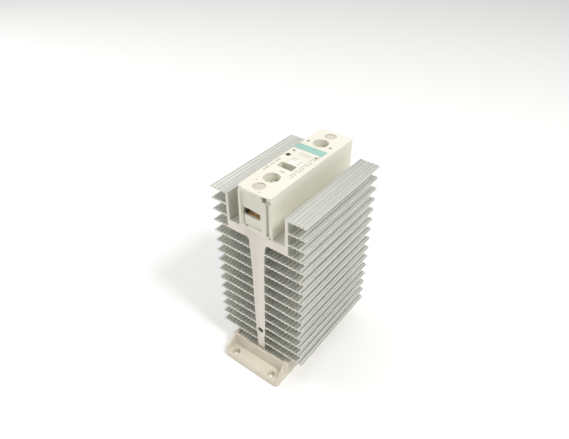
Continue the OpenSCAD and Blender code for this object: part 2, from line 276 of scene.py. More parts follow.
def tonePaint(tree, factor, color, tone):
    return blendColors(tree, factor, shade(color, 1 - tone), shade(color, 1 + tone))


def spreadRoughness(tree, shader, value, rough, swing):
    tree.links.new(spread(tree, value, rough - swing, rough + swing), shader.inputs["Roughness"])


def mouldedPlastic(name, color, rough=0.5, tone=0.03, fine=1800.0, depth=0.00002, dust=0.0, gloss=0.5):
    material, tree, shader = newMaterial(name, rough)
    marks = placeGroup(tree, grain, {"Fine Scale": fine, "Slow Scale": 35.0})
    paint = tonePaint(tree, marks.outputs["Tone"], color, tone)
    if dust:
        nicks = placeGroup(tree, specks, {"Scale": 260.0, "Amount": 0.1})
        mix = tree.nodes.new("ShaderNodeMix")
        mix.data_type = "RGBA"
        tree.links.new(figure(tree, "MULTIPLY", nicks.outputs["Mask"], dust), mix.inputs["Factor"])
        tree.links.new(paint, mix.inputs["A"])
        mix.inputs["B"].default_value = (*shade(color, 0.72), 1)
        paint = mix.outputs["Result"]
    tree.links.new(paint, shader.inputs["Base Color"])
    spreadRoughness(tree, shader, marks.outputs["Tone"], rough, 0.06)
    shader.inputs["Specular IOR Level"].default_value = gloss
    addBump(tree, shader, marks.outputs["Height"], 0.35, depth)
    return material


def linedMetal(name, color, rough, stretch, tone=0.08, metallic=1.0):
    material, tree, shader = newMaterial(name, rough, metallic)
    marks = placeGroup(tree, lines, {"Stretch": stretch})
    paint = tonePaint(tree, marks.outputs["Wide"], color, tone)
    tree.links.new(paint, shader.inputs["Base Color"])
    spreadRoughness(tree, shader, marks.outputs["Height"], rough, 0.1)
    addBump(tree, shader, marks.outputs["Height"], 0.4, 0.00002)
    return material


# the last two entries place and weigh the painted highlight on each rib's lit flank
ribSpec = {"pitch": 2.5, "offset": 1.65, "height": 0.6, "steps": 8, "steepness": 0.6,
           "paintedHighlightShift": 0.78, "tone": 0.09}


def ribbedMetal(name, color, rough, stretch, spec):
    # drawn metal, with a painted highlight: one flank of each rib, the flank facing the key light, is a
    # lighter tone
    material, tree, shader = newMaterial(name, rough, 0.6)
    marks = placeGroup(tree, lines, {"Stretch": stretch})
    crest = (sinkHigh.x - spec["offset"]) * mm
    where = addNode(tree, "ShaderNodeTexCoord").outputs["Object"]
    axes = addNode(tree, "ShaderNodeSeparateXYZ", {0: where})
    across = figure(tree, "ABSOLUTE", figure(tree, "SUBTRACT", axes.outputs["X"], spec["paintedHighlightShift"] * mm))
    turn = figure(tree, "MULTIPLY", figure(tree, "SUBTRACT", across, crest),
                  math.tau / (spec["pitch"] * mm))
    # painted highlight: a cosine band, lighter on the lit flank of each rib
    flank = figure(tree, "MULTIPLY_ADD", figure(tree, "COSINE", turn), 0.5, 0.5)
    paint = tonePaint(tree, flank, color, spec["tone"])
    tree.links.new(paint, shader.inputs["Base Color"])
    spreadRoughness(tree, shader, marks.outputs["Height"], rough, 0.06)
    addBump(tree, shader, marks.outputs["Height"], 0.3, 0.000005)
    return material


def grainyMetal(name, color, rough, tone=0.06, fine=900.0, metallic=1.0):
    material, tree, shader = newMaterial(name, rough, metallic)
    marks = placeGroup(tree, grain, {"Fine Scale": fine, "Slow Scale": 160.0})
    paint = tonePaint(tree, marks.outputs["Tone"], color, tone)
    tree.links.new(paint, shader.inputs["Base Color"])
    spreadRoughness(tree, shader, marks.outputs["Tone"], rough, 0.08)
    addBump(tree, shader, marks.outputs["Height"], 0.3, 0.00001)
    return material


def boardFinish(name):
    # green solder mask over copper tracks
    material, tree, shader = newMaterial(name, 0.35)
    where = addNode(tree, "ShaderNodeTexCoord").outputs["Object"]
    tracks = addNode(tree, "ShaderNodeTexBrick", {
        "Vector": where, "Scale": 260.0, "Color1": (0.02, 0.16, 0.07, 1),
        "Color2": (0.03, 0.2, 0.09, 1), "Mortar": (0.07, 0.32, 0.14, 1)})
    tree.links.new(tracks.outputs["Color"], shader.inputs["Base Color"])
    addBump(tree, shader, tracks.outputs["Fac"], 0.5, 0.00003)
    return material


print("shader groups ready")

finishes = {
    "aluminium": ribbedMetal("extruded aluminium", (0.755, 0.76, 0.705), 0.42, (500.0, 3.0, 500.0),
                             ribSpec),
    "aluminiumCut": linedMetal("sawn aluminium", (0.79, 0.74, 0.67), 0.55, (700.0, 40.0, 22.0), 0.07,
                               metallic=0.3),
    "foot_plastic": mouldedPlastic("beige plastic", (0.735, 0.67, 0.56), 0.55, 0.03, dust=0.3),
    "latch_plastic": mouldedPlastic("dark latch plastic", (0.05, 0.05, 0.055), 0.45),
    "spring_steel": grainyMetal("spring wire", (0.55, 0.55, 0.55), 0.3),
    "zinc_steel": grainyMetal("zinc plated steel", (0.72, 0.73, 0.68), 0.45, metallic=0.6),
    "thermal_pad": mouldedPlastic("thermal pad", (0.4, 0.41, 0.43), 0.8, fine=700.0),
    "plate_metal": linedMetal("nickelled plate", (0.6, 0.6, 0.6), 0.35, (6.0, 800.0, 800.0)),
    "ceramic": mouldedPlastic("white ceramic", (0.8, 0.8, 0.77), 0.4),
    "silicon": mouldedPlastic("silicon", (0.06, 0.06, 0.07), 0.15),
    "copper": grainyMetal("copper", (0.72, 0.36, 0.2), 0.35),
    "passivated_clamp": grainyMetal("yellow passivated steel", (0.4, 0.27, 0.12), 0.35, 0.14),
    "case_plastic": mouldedPlastic("cream plastic", (0.84, 0.815, 0.705), 0.5, 0.015, dust=0.18),
    "marker_plastic": mouldedPlastic("marker grey plastic", (0.64, 0.6, 0.53), 0.55),
    "band_teal": mouldedPlastic("teal band", (0.37, 0.62, 0.54), 0.4, 0.08),
    "tag_white": mouldedPlastic("white label", (0.86, 0.84, 0.78), 0.35, 0.01),
    "lens_dark": mouldedPlastic("dark lens", (0.045, 0.04, 0.025), 0.2, gloss=0.5),
    "board_green": boardFinish("solder mask"),
    "chip_black": mouldedPlastic("black epoxy", (0.02, 0.02, 0.02), 0.5),
    "varistor_blue": mouldedPlastic("dipped blue epoxy", (0.02, 0.06, 0.35), 0.3, 0.1, 600.0),
    "capacitor_yellow": mouldedPlastic("yellow film box", (0.7, 0.48, 0.06), 0.35),
    "resistor_tan": mouldedPlastic("tan lacquer", (0.5, 0.32, 0.18), 0.35, 0.1),
    "gold_pins": grainyMetal("gold flash", (0.85, 0.62, 0.25), 0.25),
    "plug_plastic": mouldedPlastic("grey plug plastic", (0.4, 0.41, 0.34), 0.5),
    "print_grey": mouldedPlastic("grey print", (0.42, 0.4, 0.33), 0.6),
}
slotOf = {s["node"]: s["material_slot"] for s in frame["record"]["subparts"]}
for name, node in frame["nodes"].items():
    node.data.materials.clear()
    node.data.materials.append(finishes[slotOf[name]])

print("materials ready:", len(finishes))


# ---- mesh helpers, in millimetres until a piece is finished ----

def objectFrom(bm, name):
    bmesh.ops.remove_doubles(bm, verts=bm.verts, dist=1e-5)
    bmesh.ops.recalc_face_normals(bm, faces=bm.faces)
    mesh = bpy.data.meshes.new(name)
    bm.to_mesh(mesh)
    bm.free()
    item = bpy.data.objects.new(name, mesh)
    bpy.context.scene.collection.objects.link(item)
    return item


def blockSolid(low, high):
    bm = bmesh.new()
    bmesh.ops.create_cube(bm, size=1)
    size = Vector(high) - Vector(low)
    middle = (Vector(high) + Vector(low)) / 2
    bmesh.ops.transform(bm, matrix=Matrix.Translation(middle) @ Matrix.Diagonal((*size, 1)), verts=bm.verts)
    return objectFrom(bm, "block")


def prismSolid(outline, axis, start, end, holes=()):
    # an outline in the plane across the axis, with any holes, drawn out along it
    bm = bmesh.new()
    place = {"X": lambda a, b, s: (s, a, b), "Y": lambda a, b, s: (a, s, b), "Z": lambda a, b, s: (a, b, s)}
    edges = []
    for ring in (outline, *holes):
        verts = [bm.verts.new(place[axis](a, b, start)) for a, b in ring]
        edges += [bm.edges.new((verts[i - 1], verts[i])) for i in range(len(verts))]
    bmesh.ops.triangle_fill(bm, use_beauty=True, use_dissolve=False, edges=edges)
    bmesh.ops.dissolve_limit(bm, angle_limit=0.001, verts=bm.verts, edges=bm.edges)
    pushed = bmesh.ops.extrude_face_region(bm, geom=list(bm.faces), use_keep_orig=True)
    moved = [g for g in pushed["geom"] if isinstance(g, bmesh.types.BMVert)]
    bmesh.ops.translate(bm, verts=moved, vec=Vector(place[axis](0, 0, end - start)))
    return objectFrom(bm, "prism")


def discSolid(radius, start, end, centre, axis="Z", topRadius=None, sides=56):
    bm = bmesh.new()
    bmesh.ops.create_cone(bm, cap_ends=True, segments=sides, radius1=radius,
                          radius2=radius if topRadius is None else topRadius, depth=end - start)
    turn = {"Z": Matrix.Identity(4), "Y": Matrix.Rotation(math.radians(-90), 4, "X"),
            "X": Matrix.Rotation(math.radians(90), 4, "Y")}[axis]
    bmesh.ops.transform(bm, matrix=turn, verts=bm.verts)
    along = {"X": Vector((1, 0, 0)), "Y": Vector((0, 1, 0)), "Z": Vector((0, 0, 1))}[axis]
    bmesh.ops.translate(bm, verts=bm.verts, vec=Vector(centre) + along * (start + end) / 2)
    return objectFrom(bm, "disc")


def hullSolid(points):
    bm = bmesh.new()
    verts = [bm.verts.new(p) for p in points]
    bmesh.ops.convex_hull(bm, input=verts)
    loose = [v for v in bm.verts if not v.link_faces]
    bmesh.ops.delete(bm, geom=loose, context="VERTS")
    bmesh.ops.dissolve_limit(bm, angle_limit=0.001, verts=bm.verts, edges=bm.edges)
    return objectFrom(bm, "hull")


def bake(item):
    # the evaluated mesh takes the place of the modifiers
    graph = bpy.context.evaluated_depsgraph_get()
    mesh = bpy.data.meshes.new_from_object(item.evaluated_get(graph), preserve_all_data_layers=True,
                                           depsgraph=graph)
    item.modifiers.clear()
    item.data = mesh
    return item


def combine(item, others, operation):
    for other in others:
        modifier = item.modifiers.new("shape", "BOOLEAN")
        modifier.operation = operation
        modifier.solver = "EXACT"
        modifier.object = other
    bake(item)
    for other in others:
        bpy.data.objects.remove(other)
    return item


def weld(item, others):
    return combine(item, others, "UNION")


def carve(item, others):
    return combine(item, others, "DIFFERENCE")


def mirrored(item, acrossY):
    copy = bpy.data.objects.new(item.name, item.data.copy())
    bpy.context.scene.collection.objects.link(copy)
    bm = bmesh.new()
    bm.from_mesh(copy.data)
    flip = Matrix.Translation((0, 2 * acrossY, 0)) @ Matrix.Diagonal((1, -1, 1, 1))
    bmesh.ops.transform(bm, matrix=flip, verts=bm.verts)
    bmesh.ops.reverse_faces(bm, faces=bm.faces)
    bm.to_mesh(copy.data)
    bm.free()
    return copy


def bothEnds(items):
    return items + [mirrored(i, midY) for i in items]


def soften(item, width, segments=2, angle=30):
    # rounded edges, with normals that keep the flats flat
    bm = bmesh.new()
    bm.from_mesh(item.data)
    bmesh.ops.remove_doubles(bm, verts=bm.verts, dist=1e-3)
    bmesh.ops.dissolve_limit(bm, angle_limit=0.0005, verts=bm.verts, edges=bm.edges)
    bm.to_mesh(item.data)
    bm.free()
    bevel = item.modifiers.new("round", "BEVEL")
    bevel.width = width
    bevel.segments = segments
    bevel.limit_method = "ANGLE"
    bevel.angle_limit = math.radians(angle)
    bevel.miter_outer = "MITER_ARC"
    bake(item)
    item.data.polygons.foreach_set("use_smooth", [True] * len(item.data.polygons))
    normals = item.modifiers.new("normals", "WEIGHTED_NORMAL")
    normals.keep_sharp = True
    return bake(item)


def finishPiece(item, name, body, finish, replaced=()):
    item.data.transform(Matrix.Diagonal((mm, mm, mm, 1)))
    item.name = name
    item.data.name = name
    item.data.materials.clear()
    item.data.materials.append(finishes[finish])
    item.data.polygons.foreach_set("material_index", [0] * len(item.data.polygons))
    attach(item, body)
    if replaced:
        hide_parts(*replaced)
    return item


def arcPoints(centre, radius, start, end, count):
    angles = [math.radians(start + (end - start) * i / count) for i in range(count + 1)]
    return [(centre[0] + radius * math.cos(a), centre[1] + radius * math.sin(a)) for a in angles]


# ---- geometry node helpers ----

def geometryTree(name, inputs):
    tree = bpy.data.node_groups.new(name, "GeometryNodeTree")
    tree.interface.new_socket(name="Geometry", in_out="INPUT", socket_type="NodeSocketGeometry")
    tree.interface.new_socket(name="Geometry", in_out="OUTPUT", socket_type="NodeSocketGeometry")
    for label, kind in inputs:
        tree.interface.new_socket(name=label, in_out="INPUT", socket_type=kind)
    return tree, tree.nodes.new("NodeGroupInput"), tree.nodes.new("NodeGroupOutput")


def runTree(item, tree, values):
    modifier = item.modifiers.new("tree", "NODES")
    modifier.node_group = tree
    for socket in tree.interface.items_tree:
        if socket.in_out == "INPUT" and socket.name in values:
            modifier[socket.identifier] = values[socket.name]
    return modifier


# ---- heat sink ----

sinkSpec = {
    "finCount": 15,
    "wallFins": 3,
    "pitch": 7.87,
    "core": 1.05,
    "wallRoot": 21.0,
    "stemRoot": 2.3333,
    "wallRibs": 23.6,
    "stemRibs": 6.4,
    "baseHalf": 19.8,
    "channelHalf": 19.8,
    "channelWall": 1.9,
    "channelFloor": 110.5,
    "stem": [(2.9, 10), (2.9, 24), (3.8, 34), (4.5, 80), (5.4, 97), (5.9, 102.6), (7.1, 104.55)],
    "portRadius": 2.2,
    "portHeight": 29,
    "bossRadius": 3.8,
}


def finTree():
    # a stack of ribbed fins on both sides, welded to the spine that comes in
    tree, given, put = geometryTree("fin stack", [
        ("Count", "NodeSocketInt"), ("Pitch", "NodeSocketFloat"), ("Top", "NodeSocketFloat"),
        ("Root", "NodeSocketFloat"), ("Tip", "NodeSocketFloat"), ("Length", "NodeSocketFloat"),
        ("Core", "NodeSocketFloat"), ("Rib Height", "NodeSocketFloat"), ("Rib Pitch", "NodeSocketFloat"),
        ("Rib Offset", "NodeSocketFloat"), ("Rib Start", "NodeSocketFloat"), ("Steepness", "NodeSocketFloat"),
        ("Columns", "NodeSocketInt"),
        ("Skin", "NodeSocketMaterial"), ("Cut Face", "NodeSocketMaterial")])
    value = given.outputs
    width = figure(tree, "SUBTRACT", value["Tip"], value["Root"])
    sheet = addNode(tree, "GeometryNodeMeshGrid", {"Size X": width, "Size Y": value["Length"],
                                                   "Vertices X": value["Columns"], "Vertices Y": 2})
    middle = figure(tree, "MULTIPLY", figure(tree, "ADD", value["Tip"], value["Root"]), 0.5)
    lower = figure(tree, "MULTIPLY", value["Core"], -0.5)
    shift = addNode(tree, "ShaderNodeCombineXYZ", {"X": middle, "Z": lower})
    placed = addNode(tree, "GeometryNodeTransform", {"Geometry": sheet.outputs["Mesh"],
                                                     "Translation": shift.outputs[0]})
    rise = addNode(tree, "ShaderNodeCombineXYZ", {"Z": value["Core"]})
    raised = addNode(tree, "GeometryNodeExtrudeMesh", {"Mesh": placed.outputs[0], "Offset": rise.outputs[0],
                                                       "Offset Scale": 1.0, "Individual": False})
    under = addNode(tree, "GeometryNodeFlipFaces", {"Mesh": placed.outputs[0]})
    shell = addNode(tree, "GeometryNodeJoinGeometry")
    tree.links.new(raised.outputs["Mesh"], shell.inputs[0])
    tree.links.new(under.outputs[0], shell.inputs[0])
    closed = addNode(tree, "GeometryNodeMergeByDistance", {"Geometry": shell.outputs[0], "Distance": 1e-6})
    # the sheet is pressed into waves, none near the root
    where = addNode(tree, "GeometryNodeInputPosition")
    axes = addNode(tree, "ShaderNodeSeparateXYZ", {"Vector": where.outputs[0]})
    crest = figure(tree, "SUBTRACT", value["Tip"], value["Rib Offset"])
    phase = figure(tree, "DIVIDE", figure(tree, "SUBTRACT", crest, axes.outputs["X"]), value["Rib Pitch"])
    wave = figure(tree, "COSINE", figure(tree, "MULTIPLY", phase, math.tau))
    steep = addNode(tree, "ShaderNodeClamp", {"Value": figure(tree, "MULTIPLY", wave, value["Steepness"]),
                                              "Min": -0.5, "Max": 0.5})
    ribbed = figure(tree, "GREATER_THAN", axes.outputs["X"], value["Rib Start"])
    amount = figure(tree, "MULTIPLY", figure(tree, "MULTIPLY", steep.outputs[0], ribbed),
                    value["Rib Height"])
    bumped = addNode(tree, "ShaderNodeCombineXYZ", {"Z": amount})
    fin = addNode(tree, "GeometryNodeSetPosition", {"Geometry": closed.outputs[0],
                                                    "Offset": bumped.outputs[0]})
    start = addNode(tree, "ShaderNodeCombineXYZ", {"Z": value["Top"]})
    step = addNode(tree, "ShaderNodeCombineXYZ", {"Z": figure(tree, "MULTIPLY", value["Pitch"], -1.0)})
    column = addNode(tree, "GeometryNodeMeshLine", {"Count": value["Count"],
                                                    "Start Location": start.outputs[0],
                                                    "Offset": step.outputs[0]})
    stack = addNode(tree, "GeometryNodeInstanceOnPoints", {"Points": column.outputs[0],
                                                           "Instance": fin.outputs[0]})
    right = addNode(tree, "GeometryNodeRealizeInstances", {"Geometry": stack.outputs[0]})
    left = addNode(tree, "GeometryNodeTransform", {"Geometry": right.outputs[0],
                                                   "Rotation": (0, 0, math.pi)})
    union = addNode(tree, "GeometryNodeMeshBoolean", operation="UNION", solver="MANIFOLD")
    for part in (given.outputs["Geometry"], right.outputs[0], left.outputs[0]):
        tree.links.new(part, union.inputs["Mesh 2"])
    skinned = addNode(tree, "GeometryNodeSetMaterial", {"Geometry": union.outputs["Mesh"],
                                                        "Material": value["Skin"]})
    facing = addNode(tree, "ShaderNodeSeparateXYZ",
                     {"Vector": addNode(tree, "GeometryNodeInputNormal").outputs[0]})
    isEnd = figure(tree, "GREATER_THAN", figure(tree, "ABSOLUTE", facing.outputs["Y"]), 0.9)
    done = addNode(tree, "GeometryNodeSetMaterial", {"Geometry": skinned.outputs[0], "Selection": isEnd,
                                                     "Material": value["Cut Face"]})
    tree.links.new(done.outputs[0], put.inputs[0])
    return tree


def spineOutline(spec, top):
    # stem and channel, with a round boss about the port
    boss = spec["bossRadius"]
    port = spec["portHeight"]
    right = [p for p in spec["stem"] if abs(p[1] - port) > boss or p[0] > boss]
    low = [p for p in right if p[1] < port]
    high = [p for p in right if p[1] > port]
    bulge = [p for p in arcPoints((0, port), boss, -50, 50, 14) if p[0] > 3.2]
    side = low + bulge + high
    outer = spec["channelHalf"] + spec["channelWall"]
    under = top - spec["wallFins"] * spec["pitch"] - 1.2
    channel = [(outer, under), (outer, top), (spec["channelHalf"], top),
               (spec["channelHalf"], spec["channelFloor"])]
    half = side + channel
    return half + [(-x, z) for x, z in reversed(half)]


def makeHeatSink(spec):
    top = sinkHigh.z
    outline = spineOutline(spec, top)
    port = arcPoints((0, spec["portHeight"]), spec["portRadius"], 0, 352.5, 47)
    spine = prismSolid(outline, "Y", sinkLow.y, sinkHigh.y, [port])
    spine.data.transform(Matrix.Diagonal((mm, mm, mm, 1)))
    tree = finTree()
    step = ribSpec["pitch"] / ribSpec["steps"]
    thick = spec["core"] + ribSpec["height"]
    firstFin = top - thick / 2
    wide = sinkHigh.x
    stacks = [(spec["wallFins"], firstFin, spec["wallRoot"], wide, spec["wallRibs"]),
              (spec["finCount"] - spec["wallFins"], firstFin - spec["wallFins"] * spec["pitch"],
               spec["stemRoot"], wide, spec["stemRibs"]),
              (1, sinkLow.z + thick / 2, spec["stemRoot"], spec["baseHalf"], spec["stemRibs"])]
    for count, height, root, tip, ribs in stacks:
        runTree(spine, tree, {
            "Count": count, "Pitch": spec["pitch"] * mm, "Top": height * mm, "Root": root * mm,
            "Tip": tip * mm, "Length": (sinkHigh.y - sinkLow.y) * mm, "Core": spec["core"] * mm,
            "Rib Height": ribSpec["height"] * mm, "Rib Pitch": ribSpec["pitch"] * mm,
            "Rib Offset": ribSpec["offset"] * mm, "Rib Start": ribs * mm,
            "Steepness": ribSpec["steepness"],
            "Columns": round((tip - root) / step) + 1,
            "Skin": finishes["aluminium"], "Cut Face": finishes["aluminiumCut"]})
    bake(spine)
    spine.name = "finnedHeatSink"
    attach(spine, "base")
    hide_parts("heat_sink")
    print("heat sink:", len(spine.data.polygons), "faces")


makeHeatSink(sinkSpec)


# ---- mounting foot ----

footSpec = {
    "flange": 4.4,
    "frontEdge": 3.2,
    "wallTop": 13.2,
    "wallEnd": 40.4,
    "wallFoot": 41.6,
    "cheekTop": 12.4,
    "cheekLean": 0.9,
    "trayFloor": 10.0,
    "trayEnd": 38.15,
    "trayHalf": 20.3,
    "lipEnd": 39.3,
    "lipFloor": 10.8,
    "sideTop": 12.0,
    "saddleHalf": 9.0,
    "saddleTop": 12.3,
    "holeX": 15.3,
    "holeY": 46.6,
    "holeRadius": 2.3,
    "sinkRadius": 3.0,
    "sinkDepth": 0.7,
    "cornerRadius": 2.6,
    "railHalf": 17.8,
    "railRoof": 7.6,
    "slot": 1.2,
    "hookReach": 2.0,
    "hookBottom": 3.8,
    "latchHalf": 7.25,
    "pocketEnd": 38.5,
    "screwY": (-22.6, -34.0),
    "screwHole": 2.1,
    "screwHead": 4.0,
    "screwSeat": 5.2,
    "edge": 0.45,
}


def footPlan(half, end, radius):
    # one end of the plan, with round corners
    return arcPoints((half - radius, -end + radius), radius, 0, -90, 8) + arcPoints(
        (-half + radius, -end + radius), radius, 270, 180, 8)


def footEnd(spec, half, end):
    flange = spec["flange"]
    profile = [(-end, 0), (0, 0), (0, spec["wallTop"]), (-spec["wallEnd"], spec["wallTop"]),
               (-spec["wallFoot"], flange), (-end + 1, flange), (-end, spec["frontEdge"])]
    block = prismSolid(profile, "X", -half, half)
    cheeks = []
    top = spec["cheekTop"]
    for side in (-1, 1):
        outer = side * (half - spec["cheekLean"])
        cheeks.append(hullSolid([
            (side * half, -end + 0.3, 0), (side * half, -end + 0.3, 3.6), (outer, -spec["wallEnd"], top),
            (outer, -38, top), (side * half, -38, 0), (side * (half - 1.3), -end + 0.3, 0),
            (side * (half - 1.3), -end + 0.3, 3.6), (outer - side * 1.3, -spec["wallEnd"], top),
            (outer - side * 1.3, -38, top), (side * (half - 3.0), -38, 0),
            (side * (half - 2.9), -spec["wallFoot"], flange)]))
    weld(block, cheeks)
    plan = footPlan(half + 0.001, end, spec["cornerRadius"]) + [(-half - 0.001, 1), (half + 0.001, 1)]
    return combine(block, [prismSolid(plan, "Z", -1, 20)], "INTERSECT")


def makeFoot(spec):
    half = footHigh.x
    end = footHigh.y
    near = footEnd(spec, half, end)
    foot = weld(near, [mirrored(near, 0)])
    tray = blockSolid((-spec["trayHalf"], -spec["trayEnd"], spec["trayFloor"]),
                      (spec["trayHalf"], spec["trayEnd"], 20))
    step = blockSolid((-spec["trayHalf"], -spec["lipEnd"], spec["lipFloor"]),
                      (spec["trayHalf"], spec["lipEnd"], 20))
    saddle = blockSolid((-spec["saddleHalf"], -44, spec["saddleTop"]), (spec["saddleHalf"], 44, 20))
    sides = [blockSolid((s * 25 - 5.5, -spec["trayEnd"], spec["sideTop"]),
                        (s * 25 + 5.5, spec["trayEnd"], 20)) for s in (-1, 1)]
    rail = spec["railHalf"]
    lip = -rail + spec["hookReach"]
    roof = spec["railRoof"]
    railCut = prismSolid([(-rail, -1), (rail, -1), (rail, roof), (-rail, roof), (-rail, roof - spec["slot"]),
                          (lip, roof - spec["slot"]), (lip, spec["hookBottom"] + 0.8),
                          (-rail, spec["hookBottom"])], "X", -25, 25)
    latch = spec["latchHalf"]
    latchCuts = [blockSolid((-latch, 5, -1), (latch, 60, 3.65)),
                 blockSolid((-latch, 5, 0), (latch, spec["pocketEnd"], roof - 0.8)),
                 blockSolid((-latch - 1.4, 5, 1.2), (latch + 1.4, 60, 3.0)),
                 blockSolid((-latch, 42, 0), (latch, 60, 20))]
    drills = []
    for sx in (-1, 1):
        for sy in (-1, 1):
            at = (sx * spec["holeX"], sy * spec["holeY"], 0)
            drills.append(discSolid(spec["holeRadius"], -1, spec["flange"] + 1, at))
            drills.append(discSolid(spec["holeRadius"], spec["flange"] - spec["sinkDepth"],
                                    spec["flange"] + 0.05, at, topRadius=spec["sinkRadius"]))
    for y in spec["screwY"]:
        drills.append(discSolid(spec["screwHole"], -1, 11, (0, y, 0)))
        drills.append(discSolid(spec["screwHead"], -1, spec["screwSeat"], (0, y, 0)))
    carve(foot, [tray, step, saddle, *sides, railCut, *latchCuts, *drills])
    soften(foot, spec["edge"])
    finishPiece(foot, "mountingFoot", "base", "foot_plastic", ["mounting_foot"])
    print("foot:", len(foot.data.polygons), "faces")


makeFoot(footSpec)


# ---- relay housing ----

caseSpec = {
    "wall": 1.6,
    "top": 2.0,
    "bulge": 1.1,
    "capBottom": 134.9,
    "capRound": 1.5,
    "axisX": -1.2,
    "screwOff": 23.9,
    "screwRadius": 4.9,
    "collarBottom": 132.0,
    "markerOff": 34.5,
    "markerRadius": 3.7,
    "markerDepth": 1.2,
    "entryX": (-9.8, 3.4),
    "entryZ": (119.4, 124.4),
    "panelDepth": 0.9,
    "socketX": (-7.0, 3.5),
    "socketY": (-10.7, -5.3),
    "socketBottom": 126.0,
    "lens": (-9.2, 3.3),
    "lensRadius": 1.65,
    "pegRadius": 1.1,
    "pegMiddle": (-1.4, 16.3),
    "pegHalf": (7.85, 7.3),
    "bandY": (12.2, 18.35),
    "bandRight": 8.4,
    "bandDepth": 0.4,
    "tagX": (-4.6, 5.0),
    "tagY": (-4.7, 2.8),
    "tagDepth": 0.6,
    "pocketX": (4.9, 10.7),
    "pocketZ": (133.6, 137.3),
    "guideOff": 6.85,
    "edge": 0.28,
}


def capPlan(spec, grow=0.0):
    # bowed ends and cut left corners
    left, right = caseLow.x - grow, caseHigh.x + grow
    near, far = caseLow.y + spec["bulge"], caseHigh.y - spec["bulge"]
    count = 16
    nearSide = []
    farSide = []
    for i in range(count + 1):
        t = i / count
        rise = spec["bulge"] * 4 * t * (1 - t) + grow
        nearSide.append((left + 0.7 + (right - left - 0.7) * t, near - rise))
        farSide.append((right + (left + 0.7 - right) * t, far + rise))
    return nearSide + farSide + [(left, far - 1.8), (left, near + 1.8)]


def capProfile(spec):
    # side view that rounds the cap's end edges
    radius = spec["capRound"]
    near, far, top = caseLow.y, caseHigh.y, caseHigh.z
    return [(near - 1, caseLow.z - 1), (far + 1, caseLow.z - 1), (far + 1, spec["capBottom"]),
            (far, spec["capBottom"] + 0.2)] + arcPoints((far - radius, top - radius), radius, 0, 90, 8) + \
        arcPoints((near + radius, top - radius), radius, 90, 180, 8) + \
        [(near, spec["capBottom"] + 0.2), (near - 1, spec["capBottom"])]


def caseShell(spec):
    near, far = caseLow.y + spec["bulge"], caseHigh.y - spec["bulge"]
    shell = blockSolid((caseLow.x, near, caseLow.z), (caseHigh.x, far, spec["capBottom"] + 0.01))
    cap = prismSolid(capPlan(spec), "Z", spec["capBottom"], caseHigh.z)
    combine(cap, [prismSolid(capProfile(spec), "X", -20, 20)], "INTERSECT")
    weld(shell, [cap])
    wall = spec["wall"]
    end = wall + spec["panelDepth"]
    inside = blockSolid((caseLow.x + wall, near + end, caseLow.z - 1),
                        (caseHigh.x - wall, far - end, caseHigh.z - spec["top"]))
    return carve(shell, [inside])


def endCuts(spec):
    near = caseLow.y + spec["bulge"]
    entry, height = spec["entryX"], spec["entryZ"]
    pocket, (low, high) = spec["pocketX"], spec["pocketZ"]
    screwY = midY - spec["screwOff"]
    top = caseHigh.z
    return [
        blockSolid((entry[0], near - 3, height[0]), (entry[1], near + 4, height[1])),
        blockSolid((entry[0] - 0.4, near - 3, 112.6), (entry[1] + 0.1, near + spec["panelDepth"],
                                                       spec["capBottom"])),
        blockSolid((entry[0] + 0.5, near - 3, 113.6), (entry[0] + 1.2, near + 2.2, height[0] + 1)),
        blockSolid((entry[0] + 1.6, near - 3, 111.8), (entry[0] + 4.2, near + 1.5, 112.9)),
        blockSolid((7.3, near - 3, 111.6), (9.3, near + 2.2, 133.2)),
        blockSolid((pocket[0], near - 3, low), (pocket[0] + 2.1, near + 3.4, high)),
        blockSolid((pocket[0], near - 3, high - 0.9), (pocket[1], near + 2.2, high)),
        blockSolid((pocket[0], near - 3, low), (pocket[1], near + 0.9, high)),
        blockSolid((8.9, near - 3, 108), (10.6, near + 2.0, 111.7)),
        discSolid(spec["screwRadius"], spec["collarBottom"] - 2, top + 1, (spec["axisX"], screwY, 0)),
        discSolid(spec["markerRadius"], top - spec["markerDepth"], top + 1,
                  (spec["axisX"], midY - spec["markerOff"], 0)),
    ]


def topCuts(spec):
    top = caseHigh.z
    sx, sy = spec["socketX"], spec["socketY"]
    cuts = [
        blockSolid((sx[0], sy[0], spec["socketBottom"] - 1), (sx[1], sy[1], top + 1)),
        prismSolid(arcPoints((-1.55, -14.25), 0.62, 90, 270, 6) + arcPoints((1.25, -14.25), 0.62, -90, 90, 6),
                   "Z", top - 0.9, top + 1),
        discSolid(spec["lensRadius"], 121.4, top + 1, (*spec["lens"], 0)),
        blockSolid((caseLow.x - 1, spec["bandY"][0], top - spec["bandDepth"]),
                   (spec["bandRight"], spec["bandY"][1], top + 1)),
        blockSolid((spec["tagX"][0], spec["tagY"][0], top - spec["tagDepth"]),
                   (spec["tagX"][1], spec["tagY"][1], top + 1)),
    ]
    for px in (-1, 1):
        for py in (-1, 1):
            at = (spec["pegMiddle"][0] + px * spec["pegHalf"][0],
                  spec["pegMiddle"][1] + py * spec["pegHalf"][1], 0)
            cuts.append(discSolid(spec["pegRadius"], top - 2.6, top + 1, at, sides=28))
    return cuts


def innerFittings(spec):
    # clamp guides, screw collars and the control socket's walls
    top = caseHigh.z
    screwY = midY - spec["screwOff"]
    parts = []
    for side in (-1, 1):
        x = spec["axisX"] + side * spec["guideOff"]
        parts.append(blockSolid((x - 0.5, screwY - 5.5, 117), (x + 0.5, screwY + 5.5, top - 1)))
    parts.append(discSolid(spec["screwRadius"] + 1, spec["collarBottom"], top - 1,
                           (spec["axisX"], screwY, 0)))
    parts = bothEnds(parts)
    sx, sy = spec["socketX"], spec["socketY"]
    parts.append(blockSolid((sx[0] - 1, sy[0] - 1, spec["socketBottom"]), (sx[1] + 1, sy[1] + 1, top - 1)))
    return parts


